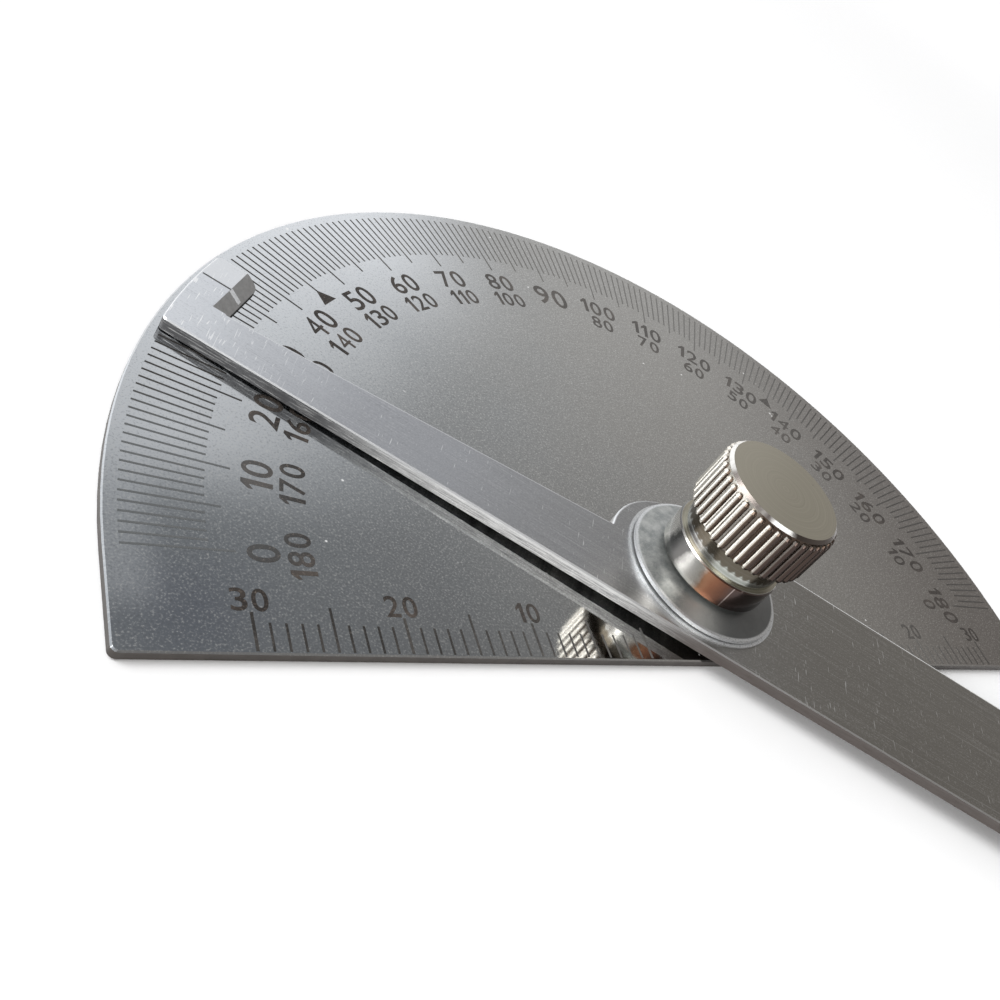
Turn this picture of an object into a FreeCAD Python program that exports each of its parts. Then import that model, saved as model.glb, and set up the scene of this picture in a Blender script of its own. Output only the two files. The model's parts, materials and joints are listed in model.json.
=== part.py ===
"""Round-headed steel protractor: a half-round graduated head, an arm that swings on its pivot, and a
knurled thumb nut that clamps the arm. Millimetres; the origin is on the pivot axis at the head's back
face, +X runs along the base edge towards the 180 degree mark, +Y away from it, and +Z up through the nut."""
import FreeCAD, Part
import Sketcher
import math
import os

V = FreeCAD.Vector
doc = FreeCAD.newDocument("protractor")

# Driving dimensions, in millimetres and degrees
SIZES = [
    ("rim_radius", 45.5, "half-round head, pivot to rim"),
    ("base_offset", 7.1, "pivot to the straight base edge"),
    ("plate_thickness", 0.8, "head plate"),
    ("plate_corner_radius", 0.5, "rounding of the two base corners"),
    ("edge_break", 0.1, "deburred outer edges of the head and of the arm's upper face"),
    ("stud_radius", 2.5, "threaded pivot stud, over its thread"),
    ("countersink_depth", 0.55, "flush 90 degree head of the stud"),
    ("stud_engagement", 6.0, "thread inside the nut"),
    ("stud_chamfer", 0.4, "lead-in at the stud's end and in the nut's mouth"),
    ("hole_clearance", 0.05, "radial play of the arm, washers and nut on the stud"),
    ("running_gap", 0.02, "film between faces that slide or lift"),
    ("spacer_radius", 6.0, "washer between head and arm"),
    ("spacer_thickness", 0.54, "lifts the arm clear of the head"),
    ("arm_angle", 34.35, "direction of the arm's edges at rest, from the 0 degree mark"),
    ("arm_tilt", 0.73, "lean of the arm in its clamp, index end down onto the scale"),
    ("arm_thickness", 1.0, "sheet of the arm"),
    ("arm_width", 14.0, "long blade of the arm"),
    ("arm_near", 7.5, "pivot to the arm's ruling edge"),
    ("arm_reach", 148.0, "pivot to the far end of the blade"),
    ("arm_end_radius", 1.5, "corners of the blade's far end"),
    ("tip_inset", 0.6, "rim of the head to the end of the pointer"),
    ("hub_lead", 1.5, "hub rounding's centre, from the pivot towards the tip"),
    ("pointer_root_width", 7.1, "pointer where it leaves the hub"),
    ("pointer_tip_width", 4.0, "pointer where it meets the tab"),
    ("tab_width", 9.9, "index tab, from the ruling edge"),
    ("tab_length", 3.65, "index tab, along the pointer"),
    ("tab_corner_radius", 0.45, "corners of the index tab"),
    ("bevel_run", 1.15, "bevelled reading edge of the tab"),
    ("bevel_land", 0.2, "edge left under the bevel"),
    ("friction_washer_radius", 7.05, "flat washer on the arm"),
    ("friction_washer_thickness", 0.15, "flat washer on the arm"),
    ("spring_washer_radius", 6.75, "dished washer under the nut"),
    ("spring_washer_thickness", 0.3, "dished washer under the nut"),
    ("spring_washer_dish", 0.93, "rise of its crown above its rim"),
    ("collar_radius", 4.8, "plain foot of the nut"),
    ("collar_height", 2.35, "plain foot of the nut"),
    ("collar_break", 0.12, "turned edges of the nut's foot"),
    ("neck_radius", 4.4, "turned neck under the knurl"),
    ("neck_height", 2.05, "turned neck under the knurl"),
    ("knurl_radius", 5.35, "over the crests of the knurl"),
    ("knurl_height", 4.8, "knurled head with its chamfer"),
    ("knurl_depth", 0.28, "crest to root of the knurl"),
    ("ridge_radius", 0.34, "half-round section and round ends of each ridge of the knurl"),
    ("ridge_drop", 0.35, "nut's top face down to the tips of the ridges"),
    ("knurl_ridges", 40, "ridges round the nut"),
    ("nut_chamfer", 0.25, "bright ring round the nut's top face"),
    ("knurl_foot_chamfer", 0.15, "lower end of the knurl's core"),
    ("nut_roof", 1.8, "solid metal above the nut's blind thread"),
]

# Heights and places worked out from those sizes, each cell a formula of the ones above
DERIVED = [
    ("arm_base", "=plate_thickness + spacer_thickness + running_gap + spacer_radius * tan(arm_tilt)"),
    ("friction_washer_base", "=arm_base + arm_thickness / cos(arm_tilt)"),
    ("friction_washer_top", "=friction_washer_base + friction_washer_thickness / cos(arm_tilt)"),
    ("spring_washer_base", "=friction_washer_top + spring_washer_radius * tan(arm_tilt) + running_gap"),
    ("nut_base", "=spring_washer_base + spring_washer_dish + spring_washer_thickness + running_gap"),
    ("nut_height", "=collar_height + neck_height + knurl_height"),
    ("stud_top", "=nut_base + stud_engagement"),
    ("bore_radius", "=stud_radius + hole_clearance"),
    ("tip_radius", "=rim_radius - tip_inset"),
    ("arm_far", "=arm_width - arm_near"),
    ("tab_inner", "=tip_radius - tab_length"),
]

sheet = doc.addObject("Spreadsheet::Sheet", "Sizes")


def write_cell(row, name, content, note):
    sheet.set(f"A{row}", name)
    sheet.set(f"B{row}", content)
    sheet.set(f"C{row}", note)
    sheet.setAlias(f"B{row}", name)


for row, (name, number, note) in enumerate(SIZES, start=1):
    write_cell(row, name, str(number), note)
for row, (name, formula) in enumerate(DERIVED, start=len(SIZES) + 2):
    write_cell(row, name, formula, "worked out")
doc.recompute()


class Size:
    """A number in millimetres together with the sheet formula that gives it."""

    def __init__(self, number, formula):
        self.number = float(number)
        self.formula = formula

    def __add__(self, other):
        other = as_size(other)
        return Size(self.number + other.number, f"({self.formula} + {other.formula})")

    def __sub__(self, other):
        other = as_size(other)
        return Size(self.number - other.number, f"({self.formula} - {other.formula})")

    def __truediv__(self, other):
        other = as_size(other)
        return Size(self.number / other.number, f"({self.formula} / {other.formula})")

    def __neg__(self):
        return Size(-self.number, f"(0 - {self.formula})")


def as_size(item):
    return item if isinstance(item, Size) else Size(item, str(item))


class Dimensions:
    """Every alias of the sheet as an attribute."""

    def __init__(self, names):
        for name in names:
            setattr(self, name, Size(getattr(sheet, name), f"Sizes.{name}"))


dim = Dimensions([entry[0] for entry in SIZES + DERIVED])
ZERO = as_size(0)
LEAN = math.radians(dim.arm_tilt.number)
TOLERANCE = 1e-4

# Sketcher's names for places: an edge's ends and centre, the two axes, and the origin
START, END, CENTRE = range(1, 4)
X_AXIS, Y_AXIS = range(-1, -3, -1)
ORIGIN_POINT = (X_AXIS, START)

# Turning a sketch about these directions of its plane leans it with the arm
LEAN_AXIS = {"XY_Plane": V(0, -1, 0), "XZ_Plane": V(0, 0, 1)}


def new_body(label):
    body = doc.addObject("PartDesign::Body", label)
    body.Label = label
    return body


def origin_feature(body, role):
    return next(item for item in body.Origin.OriginFeatures if item.Role == role)


def new_sketch(body, name, role="XY_Plane", offset=ZERO, leaning=False, across=ZERO):
    """A sketch on one of the body's own planes: lifted along its normal, moved along X or leaning."""
    drawing = body.newObject("Sketcher::SketchObject", name)
    drawing.AttachmentSupport = [(origin_feature(body, role), "")]
    drawing.MapMode = "FlatFace"
    turn = FreeCAD.Rotation(LEAN_AXIS[role], dim.arm_tilt.number) if leaning else FreeCAD.Rotation()
    drawing.AttachmentOffset = FreeCAD.Placement(V(across.number, 0, offset.number), turn)
    drawing.setExpression(".AttachmentOffset.Base.x", across.formula)
    drawing.setExpression(".AttachmentOffset.Base.z", offset.formula)
    if leaning:
        drawing.setExpression(".AttachmentOffset.Rotation.Angle", dim.arm_tilt.formula)
    return drawing


def bind(drawing, kind, places, size):
    """A driving distance between points, tied to its formula."""
    index = drawing.addConstraint(Sketcher.Constraint(kind, *places, size.number))
    drawing.setExpression(f"Constraints[{index}]", size.formula)


def fix(drawing, geometry, vertex, across, up):
    """Puts one vertex at its place from the sketch's origin."""
    for kind, size, axis in (("DistanceX", across, Y_AXIS), ("DistanceY", up, X_AXIS)):
        if size is ZERO:
            drawing.addConstraint(Sketcher.Constraint("PointOnObject", geometry, vertex, axis))
        else:
            bind(drawing, kind, (*ORIGIN_POINT, geometry, vertex), size)


def chain_up(drawing, lines):
    """Joins each line's end to the next line's start, round to the first."""
    for line, following in zip(lines, lines[1:] + lines[:1]):
        drawing.addConstraint(Sketcher.Constraint("Coincident", line, END, following, START))


def polygon(drawing, corners):
    """A closed outline of straight lines through the corners."""
    points = [V(x.number, y.number, 0) for x, y in corners]
    lines = []
    for here, there in zip(points, points[1:] + points[:1]):
        lines.append(drawing.addGeometry(Part.LineSegment(here, there), False))
    chain_up(drawing, lines)
    for line, (x, y) in zip(lines, corners):
        fix(drawing, line, START, x, y)


def circle(drawing, x, y, radius):
    ring = drawing.addGeometry(Part.Circle(V(x.number, y.number, 0), V(0, 0, 1), radius.number), False)
    fix(drawing, ring, CENTRE, x, y)
    bind(drawing, "Radius", (ring,), radius)


def feature(body, kind, name, drawing, **settings):
    item = body.newObject(f"PartDesign::{kind}", name)
    item.Profile = drawing
    for key, setting in settings.items():
        setattr(item, key, setting)
    drawing.Visibility = False
    doc.recompute()
    return item


def pad(body, name, drawing, length):
    item = feature(body, "Pad", name, drawing, Length=length.number)
    item.setExpression("Length", length.formula)
    doc.recompute()
    return item


def bore(body, name, radius):
    """A round hole right through the body, along the stud's axis."""
    plan = new_sketch(body, name + "_plan")
    circle(plan, ZERO, ZERO, radius)
    return feature(body, "Pocket", name, plan, Type="ThroughAll", Midplane=True)


def turned(body, kind, name, corners, across=ZERO):
    """A profile of distances and heights, turned about the stud's axis or an upright one across from it."""
    profile = new_sketch(body, name + "_profile", "XZ_Plane", across=across)
    polygon(profile, corners)
    return feature(body, kind, name, profile, ReferenceAxis=(profile, ["V_Axis"]), Angle=360.0)


def dressed(body, kind, name, base, test, size):
    """A fillet or a chamfer on the edges of the base for which the test holds."""
    edges = [f"Edge{index}" for index, edge in enumerate(base.Shape.Edges, start=1) if test(edge)]
    item = body.newObject(f"PartDesign::{kind}", name)
    item.Base = (base, edges)
    key = "Radius" if kind == "Fillet" else "Size"
    setattr(item, key, size.number)
    item.setExpression(key, size.formula)
    doc.recompute()
    return item


def leaning_place(vertex, lean):
    """A vertex in axes that lean about Y: along, across and square off the plane."""
    point = vertex.Point
    along = point.x * math.cos(lean) + point.z * math.sin(lean)
    return V(along, point.y, point.z * math.cos(lean) - point.x * math.sin(lean))


def upright_at(places, lean=0.0):
    """A test for edges that stand square on the leaning plane at one of the plan places."""
    def test(edge):
        first, last = (leaning_place(edge.Vertexes[index], lean) for index in (0, -1))
        if abs(first.z - last.z) < TOLERANCE or math.hypot(first.x - last.x, first.y - last.y) > TOLERANCE:
            return False
        return any(math.hypot(first.x - x, first.y - y) < TOLERANCE for x, y in places)
    return test


def outline_at(heights, lean=0.0):
    """A test for edges that lie at one of the heights above the leaning plane."""
    def test(edge):
        ends = [leaning_place(vertex, lean) for vertex in edge.Vertexes]
        return any(all(abs(end.z - height) < TOLERANCE for end in ends) for height in heights)
    return test


def lift(body, height):
    body.setExpression(".Placement.Base.z", height.formula)


def swing(body):
    """Turns a body that is drawn pointing along -X to the arm's direction at rest."""
    body.setExpression(".Placement.Rotation.Angle", (-dim.arm_angle).formula)


# Head plate: a half disc with a straight lower part, drilled and countersunk from the back
def make_head_plate():
    body = new_body("head_plate")
    rim, base = dim.rim_radius, dim.base_offset
    plan = new_sketch(body, "head_plan")
    places = [V(-rim.number, 0, 0), V(-rim.number, -base.number, 0), V(rim.number, -base.number, 0),
              V(rim.number, 0, 0)]
    arc = plan.addGeometry(Part.ArcOfCircle(Part.Circle(V(0, 0, 0), V(0, 0, 1), rim.number), 0, math.pi), False)
    left, foot, right = (
        plan.addGeometry(Part.LineSegment(here, there), False)
        for here, there in zip(places, places[1:])
    )
    chain_up(plan, [arc, left, foot, right])
    plan.addConstraint(Sketcher.Constraint("Coincident", arc, CENTRE, *ORIGIN_POINT))
    bind(plan, "Radius", (arc,), rim)
    plan.addConstraint(Sketcher.Constraint("PointOnObject", arc, START, X_AXIS))
    plan.addConstraint(Sketcher.Constraint("PointOnObject", arc, END, X_AXIS))
    plan.addConstraint(Sketcher.Constraint("Vertical", left))
    plan.addConstraint(Sketcher.Constraint("Vertical", right))
    plan.addConstraint(Sketcher.Constraint("Horizontal", foot))
    bind(plan, "DistanceY", (*ORIGIN_POINT, left, END), -base)
    blank = pad(body, "head_blank", plan, dim.plate_thickness)
    feet = upright_at([(place.x, place.y) for place in places[1:3]])
    rounded = dressed(body, "Fillet", "head_corners", blank, feet, dim.plate_corner_radius)
    outlines = outline_at([0, dim.plate_thickness.number])
    dressed(body, "Chamfer", "head_edges", rounded, outlines, dim.edge_break)
    bore(body, "stud_hole", dim.stud_radius)
    shank, depth = dim.stud_radius, dim.countersink_depth
    turned(body, "Groove", "countersink", [(ZERO, ZERO), (shank + depth, ZERO), (shank, depth), (ZERO, depth)])
    return body


# Pivot stud: its flush head fills the countersink, its shank carries everything above
def make_pivot_stud():
    body = new_body("pivot_stud")
    shank, depth, lead = dim.stud_radius, dim.countersink_depth, dim.stud_chamfer
    turned(body, "Revolution", "stud_turned", [
        (ZERO, ZERO),
        (shank + depth, ZERO),
        (shank, depth),
        (shank, dim.stud_top - lead),
        (shank - lead, dim.stud_top),
        (ZERO, dim.stud_top),
    ])
    return body


# Spacer washer: lies flat on the head and lifts the arm clear of it
def make_spacer_washer():
    body = new_body("spacer_washer")
    inner, outer, thickness = dim.bore_radius, dim.spacer_radius, dim.spacer_thickness
    turned(body, "Revolution", "spacer_turned", [
        (inner, ZERO),
        (outer, ZERO),
        (outer, thickness),
        (inner, thickness),
    ])
    lift(body, dim.plate_thickness)
    return body


# Arm: one stamped strip with its hub rounding, tapered pointer, index tab and long ruling blade.
# It is drawn flat on its own leaning plane, pointing along -X.
def make_arm():
    body = new_body("arm")
    near, far, tip = -dim.arm_near, dim.arm_far, dim.tip_radius
    hub_x, hub_radius = -dim.hub_lead, dim.arm_width / 2
    hub_y = far - hub_radius
    root_y = near + dim.pointer_root_width
    tip_y = near + dim.pointer_tip_width
    tab_y = near + dim.tab_width
    tab_x = -dim.tab_inner

    def on_circle(radius, height):
        """How far left of its centre a circle passes that height."""
        return math.sqrt(radius.number ** 2 - height ** 2)

    corners = {
        "tip near": V(-on_circle(tip, near.number), near.number, 0),
        "end near": V(dim.arm_reach.number, near.number, 0),
        "end far": V(dim.arm_reach.number, far.number, 0),
        "hub top": V(hub_x.number, far.number, 0),
        "hub root": V(hub_x.number - on_circle(hub_radius, (root_y - hub_y).number), root_y.number, 0),
        "tab root": V(tab_x.number, tip_y.number, 0),
        "tab far": V(tab_x.number, tab_y.number, 0),
        "tip far": V(-on_circle(tip, tab_y.number), tab_y.number, 0),
    }
    plan = new_sketch(body, "arm_plan", leaning=True)

    def line(first, last):
        return plan.addGeometry(Part.LineSegment(corners[first], corners[last]), False)

    def arc(centre, radius, first, last):
        start, end = (math.atan2(corners[name].y - centre.y, corners[name].x - centre.x) for name in (first, last))
        base = Part.Circle(centre, V(0, 0, 1), radius.number)
        return plan.addGeometry(Part.ArcOfCircle(base, start, end), False)

    ruling = line("tip near", "end near")
    blade_end = line("end near", "end far")
    blade_far = line("end far", "hub top")
    hub = arc(V(hub_x.number, hub_y.number, 0), hub_radius, "hub top", "hub root")
    pointer = line("hub root", "tab root")
    tab_in = line("tab root", "tab far")
    tab_top = line("tab far", "tip far")
    tip_end = arc(V(0, 0, 0), tip, "tip far", "tip near")
    chain_up(plan, [ruling, blade_end, blade_far, hub, pointer, tab_in, tab_top, tip_end])
    for level in (ruling, blade_far, tab_top):
        plan.addConstraint(Sketcher.Constraint("Horizontal", level))
    for upright in (blade_end, tab_in):
        plan.addConstraint(Sketcher.Constraint("Vertical", upright))
    fix(plan, blade_end, START, dim.arm_reach, near)
    bind(plan, "DistanceY", (*ORIGIN_POINT, blade_far, END), far)
    fix(plan, hub, CENTRE, hub_x, hub_y)
    bind(plan, "DistanceX", (*ORIGIN_POINT, hub, START), hub_x)
    bind(plan, "DistanceY", (*ORIGIN_POINT, hub, END), root_y)
    fix(plan, pointer, END, tab_x, tip_y)
    bind(plan, "DistanceY", (*ORIGIN_POINT, tab_top, START), tab_y)
    plan.addConstraint(Sketcher.Constraint("Coincident", tip_end, CENTRE, *ORIGIN_POINT))
    bind(plan, "Radius", (tip_end,), tip)
    blank = pad(body, "arm_blank", plan, dim.arm_thickness)

    ends = upright_at([(corners[name].x, corners[name].y) for name in ("end near", "end far")], LEAN)
    blade = dressed(body, "Fillet", "blade_corners", blank, ends, dim.arm_end_radius)
    tabs = upright_at([(corners[name].x, corners[name].y) for name in ("tab far", "tip far", "tip near")], LEAN)
    tab = dressed(body, "Fillet", "tab_corners", blade, tabs, dim.tab_corner_radius)
    upper = outline_at([dim.arm_thickness.number], LEAN)
    dressed(body, "Chamfer", "arm_edges", tab, upper, dim.edge_break)
    bore(body, "arm_bore", dim.bore_radius)

    # The reading edge slopes down to a thin land just above the scale
    bevel = new_sketch(body, "bevel_profile", "XZ_Plane", offset=-tip_y, leaning=True)
    above = dim.arm_thickness + dim.bevel_land
    polygon(bevel, [
        (tab_x - dim.bevel_run, dim.arm_thickness),
        (tab_x, dim.bevel_land),
        (tab_x, above),
        (tab_x - dim.bevel_run, above),
    ])
    cut = feature(body, "Pocket", "bevel", bevel, Type="Length", Length=dim.tab_width.number)
    cut.setExpression("Length", dim.tab_width.formula)
    lift(body, dim.arm_base)
    swing(body)
    return body


# Friction washer: thin and flat, lies on the arm and leans with it
def make_friction_washer():
    body = new_body("friction_washer")
    plan = new_sketch(body, "friction_washer_plan", leaning=True)
    circle(plan, ZERO, ZERO, dim.friction_washer_radius)
    pad(body, "friction_washer_blank", plan, dim.friction_washer_thickness)
    bore(body, "friction_washer_bore", dim.bore_radius)
    lift(body, dim.friction_washer_base)
    swing(body)
    return body


# Dished spring washer: a shallow cone whose crown meets the nut
def make_spring_washer():
    body = new_body("spring_washer")
    thickness, dish = dim.spring_washer_thickness, dim.spring_washer_dish
    inner, outer = dim.bore_radius, dim.spring_washer_radius
    turned(body, "Revolution", "spring_washer_turned", [
        (outer, ZERO),
        (outer, thickness),
        (inner, dish + thickness),
        (inner, dish),
    ])
    lift(body, dim.spring_washer_base)
    return body


# Thumb nut: foot, turned neck and a head with half-round ridges over a blind hole
def make_thumb_nut():
    body = new_body("thumb_nut")
    foot, neck, crest, edge = dim.collar_radius, dim.neck_radius, dim.knurl_radius, dim.collar_break
    root, top = crest - dim.knurl_depth, dim.nut_height
    ring, lower_ring = dim.nut_chamfer, dim.knurl_foot_chamfer
    neck_base = dim.collar_height
    knurl_base = neck_base + dim.neck_height
    turned(body, "Revolution", "nut_turned", [
        (ZERO, ZERO),
        (foot - edge, ZERO),
        (foot, edge),
        (foot, neck_base - edge),
        (foot - edge, neck_base),
        (neck, neck_base),
        (neck, knurl_base),
        (root - lower_ring, knurl_base),
        (root, knurl_base + lower_ring),
        (root, top - ring),
        (root - ring, top),
        (ZERO, top),
    ])

    # One ridge is a slim post with domed ends, half sunk in the head's side
    radius, tip = dim.ridge_radius, top - dim.ridge_drop
    shoulder = radius / math.sqrt(2)
    ridge = turned(body, "Revolution", "ridge", [
        (ZERO, knurl_base),
        (shoulder, knurl_base + radius - shoulder),
        (radius, knurl_base + radius),
        (radius, tip - radius),
        (shoulder, tip - radius + shoulder),
        (ZERO, tip),
    ], across=crest - radius)
    knurl = body.newObject("PartDesign::PolarPattern", "knurl")
    knurl.Originals = [ridge]
    knurl.Axis = (origin_feature(body, "Z_Axis"), [""])
    knurl.Angle = 360.0
    knurl.Occurrences = int(dim.knurl_ridges.number)
    knurl.setExpression("Occurrences", dim.knurl_ridges.formula)
    body.Tip = knurl
    doc.recompute()

    hole, lead, depth = dim.bore_radius, dim.stud_chamfer, top - dim.nut_roof
    turned(body, "Groove", "blind_hole", [
        (ZERO, ZERO),
        (hole + lead, ZERO),
        (hole, lead),
        (hole, depth),
        (ZERO, depth),
    ])
    lift(body, dim.nut_base)
    return body


pieces = [
    make_head_plate(),
    make_pivot_stud(),
    make_spacer_washer(),
    make_arm(),
    make_friction_washer(),
    make_spring_washer(),
    make_thumb_nut(),
]
doc.recompute()

faults = [item.Name for item in doc.Objects if "Invalid" in item.State or "Error" in item.State]
if faults:
    raise RuntimeError(f"these objects failed: {faults}")
for piece in pieces:
    shape = piece.Shape
    if shape.isNull() or not shape.isValid() or len(shape.Solids) != 1:
        raise RuntimeError(f"{piece.Label} is not one valid solid")

os.makedirs("parts", exist_ok=True)
for piece in pieces:
    box = piece.Shape.BoundBox
    print(
        f"{piece.Label:16s} {piece.Shape.Volume:9.2f} mm3  z {box.ZMin:6.2f} to {box.ZMax:6.2f}"
        f"  x {box.XMin:7.2f} to {box.XMax:7.2f}  y {box.YMin:7.2f} to {box.YMax:7.2f}"
    )
    piece.Shape.exportStep(f"parts/{piece.Label}.step")
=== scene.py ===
# %% [markdown]
# # A steel protractor with a swinging arm
# The object is a half-round steel head with a degree scale, an arm that swings over it and a
# knurled thumb nut that clamps the arm. Its solids come from the CAD model, already in place and
# in metres, so this lesson is about everything the solids lack: graduations, finishes, light and
# camera. The frame is loaded first, because every later size is worked out from it.

import json
from math import atan2, cos, degrees, radians, sin

import bpy
from mathutils import Matrix, Vector


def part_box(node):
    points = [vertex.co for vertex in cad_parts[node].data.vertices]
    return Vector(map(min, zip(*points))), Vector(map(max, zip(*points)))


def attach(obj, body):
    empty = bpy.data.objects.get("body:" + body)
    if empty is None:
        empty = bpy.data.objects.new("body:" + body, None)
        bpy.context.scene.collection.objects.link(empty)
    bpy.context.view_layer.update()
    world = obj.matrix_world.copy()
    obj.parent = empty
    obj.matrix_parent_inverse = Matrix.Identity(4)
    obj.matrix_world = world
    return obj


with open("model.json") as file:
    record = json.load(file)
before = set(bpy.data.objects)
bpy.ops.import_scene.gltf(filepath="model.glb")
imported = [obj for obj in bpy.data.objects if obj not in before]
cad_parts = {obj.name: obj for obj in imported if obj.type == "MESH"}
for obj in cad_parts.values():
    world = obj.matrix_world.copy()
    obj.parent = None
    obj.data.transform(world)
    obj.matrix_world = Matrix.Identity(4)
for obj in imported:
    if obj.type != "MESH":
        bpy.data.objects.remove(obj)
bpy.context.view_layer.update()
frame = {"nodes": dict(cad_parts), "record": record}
nodes = frame["nodes"]
print("solids:", sorted(nodes))

# %% [markdown]
# The solids tell their own sizes. The head's top face is where the scale goes, and the arm's
# ruling edge gives the direction that its grinding marks run in. Reading them here keeps the
# graduations on the metal if the CAD model changes.

# %% Sizes taken from the solids
MM = 0.001
TO_MM = 1 / MM

plate_low, plate_high = (Vector(corner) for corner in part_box("head_plate"))
plate_top = plate_high.z
rim_radius = plate_high.x
mounts = {mount["name"]: mount for mount in frame["record"]["mounts"]}
edge_out = Vector(mounts["ruling_edge"]["axis"]).normalized()
arm_along = Vector((-edge_out.y, edge_out.x, 0.0))
nut_low, nut_high = (Vector(corner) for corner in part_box("thumb_nut"))
nut_top, nut_radius = nut_high.z, nut_high.x
washer_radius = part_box("spring_washer")[1][0]
print("head radius mm", round(rim_radius * TO_MM, 2), "nut top mm", round(nut_top * TO_MM, 2))

# %% [markdown]
# ## A small language for finishes
# Metal that looks real is never one colour: it is grain, scratches, specks and bright edges laid
# over each other. Each of them is a mask between 0 and 1, and masks are easiest to combine as
# sums. So one class wraps a node's output and turns + - * into Math nodes, and one method adds
# any other node. Every pattern starts from the object's own coordinates in millimetres, so it
# moves with the piece and its scale can be read off a ruler.

# %% One class for shader sums


class Signal:
    """The output of a shader node, usable in sums."""

    def __init__(self, tree, socket):
        self.tree, self.socket = tree, socket

    def node(self, kind, inputs, settings=None, output=0):
        """Adds a node. Settings are set first, then its inputs get a value or a link."""
        made = self.tree.nodes.new(kind)
        for name, value in (settings or {}).items():
            if name == "stops":
                fill_ramp(made.color_ramp, value)
            else:
                setattr(made, name, value)
        for key, value in inputs.items():
            if isinstance(value, Signal):
                self.tree.links.new(value.socket, made.inputs[key])
            else:
                made.inputs[key].default_value = value
        return Signal(self.tree, made.outputs[output])

    def math(self, operation, *inputs):
        return self.node("ShaderNodeMath", dict(enumerate(inputs)), {"operation": operation})

    def __add__(self, other):
        return self.math("ADD", self, other)

    def __radd__(self, other):
        return self.math("ADD", other, self)

    def __sub__(self, other):
        return self.math("SUBTRACT", self, other)

    def __rsub__(self, other):
        return self.math("SUBTRACT", other, self)

    def __mul__(self, other):
        return self.math("MULTIPLY", self, other)

    def __rmul__(self, other):
        return self.math("MULTIPLY", other, self)


def fill_ramp(ramp, stops):
    """Gives a colour ramp exactly these (position, colour) stops."""
    while len(ramp.elements) > 1:
        ramp.elements.remove(ramp.elements[-1])
    ramp.elements[0].position, ramp.elements[0].color = stops[0]
    for position, colour in stops[1:]:
        ramp.elements.new(position).color = colour


# %% Helpers that every finish uses


def rgba(colour):
    return (*colour, 1.0)


def ramped(value, start, end):
    """0 below start, 1 above end, smooth between; start may be above end."""
    low, high, first, last = (start, end, 0.0, 1.0) if start < end else (end, start, 1.0, 0.0)
    settings = {"interpolation_type": "SMOOTHSTEP"}
    inputs = {0: value, 1: low, 2: high, 3: first, 4: last}
    return value.node("ShaderNodeMapRange", inputs, settings)


def within(value, start, end, soft):
    """1 between start and end, 0 outside, with soft borders."""
    return ramped(value, start - soft, start + soft) * ramped(value, end + soft, end - soft)


def blended(factor, first, second):
    """first where the mask is 0 and second where it is 1. Both are colours."""
    inputs = {0: factor}
    for key, colour in ((6, first), (7, second)):
        inputs[key] = colour if isinstance(colour, Signal) else rgba(colour)
    return factor.node("ShaderNodeMix", inputs, {"data_type": "RGBA"}, output=2)


def colour_along(value, *stops):
    """A colour that changes along a value from 0 to 1; each stop is a position and a colour."""
    filled = [(position, rgba(colour)) for position, colour in stops]
    return value.node("ShaderNodeValToRGB", {0: value}, {"stops": filled})


def vector_of(x, y, z):
    return x.node("ShaderNodeCombineXYZ", {0: x, 1: y, 2: z})


def noise(place, scale, detail=3.0, rough=0.55):
    """Cloudy noise between 0 and 1; scale is its spots per millimetre."""
    inputs = {"Vector": place, "Scale": scale, "Detail": detail, "Roughness": rough}
    return place.node("ShaderNodeTexNoise", inputs)


def scaled(place, factor):
    return place.node("ShaderNodeVectorMath", {0: place, 1: factor}, {"operation": "MULTIPLY"})


def shifted(place, offset):
    return place.node("ShaderNodeVectorMath", {0: place, 1: offset}, {"operation": "ADD"})


def along(place, direction):
    """How far a place lies along a direction."""
    settings = {"operation": "DOT_PRODUCT"}
    return place.node("ShaderNodeVectorMath", {0: place, 1: direction}, settings, output=1)


def distance_to(place, point):
    settings = {"operation": "DISTANCE"}
    return place.node("ShaderNodeVectorMath", {0: place, 1: point}, settings, output=1)


def from_axis(place):
    """The distance from the upright axis through the pivot."""
    return distance_to(scaled(place, (1.0, 1.0, 0.0)), (0.0, 0.0, 0.0))


class Finish:
    """A material being mixed: where on the piece we are, and the shader that gets the result."""

    def __init__(self, name):
        self.material = bpy.data.materials.new(name)
        self.material.use_nodes = True
        tree = self.material.node_tree
        self.shader = tree.nodes["Principled BSDF"]
        coordinates = tree.nodes.new("ShaderNodeTexCoord")
        metres = Signal(tree, coordinates.outputs["Object"])
        self.place = scaled(metres, (TO_MM, TO_MM, TO_MM))
        self.facing = Signal(tree, coordinates.outputs["Normal"])
        parts = tree.nodes.new("ShaderNodeSeparateXYZ")
        tree.links.new(self.place.socket, parts.inputs[0])
        self.x, self.y, self.z = (Signal(tree, socket) for socket in parts.outputs)
        self.up = along(self.facing, (0.0, 0.0, 1.0))

    def sides(self):
        """1 on faces that look sideways and 0 on faces that look up."""
        return ramped(self.up, 0.35, 0.12)

    def set(self, **values):
        """Base_Color=..., Roughness=... : underscores stand for the socket names' spaces."""
        tree = self.material.node_tree
        for name, value in values.items():
            socket = self.shader.inputs[name.replace("_", " ")]
            if isinstance(value, Signal):
                tree.links.new(value.socket, socket)
            else:
                socket.default_value = value

    def bump(self, height, depth, strength=1.0):
        """height from 0 to 1 stands depth millimetres high."""
        inputs = {"Height": height, "Distance": depth * MM, "Strength": strength}
        self.set(Normal=height.node("ShaderNodeBump", inputs))


print("shader helpers ready")

# %% [markdown]
# Scratches are long thin lines. Stretching noise a hundredfold along one direction gives a comb
# of lines, and keeping only its highest peaks leaves single scratches. The line's own direction
# is worked out in Python and the stretching is two dot products.

# %% Scratches, grain and specks


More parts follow.
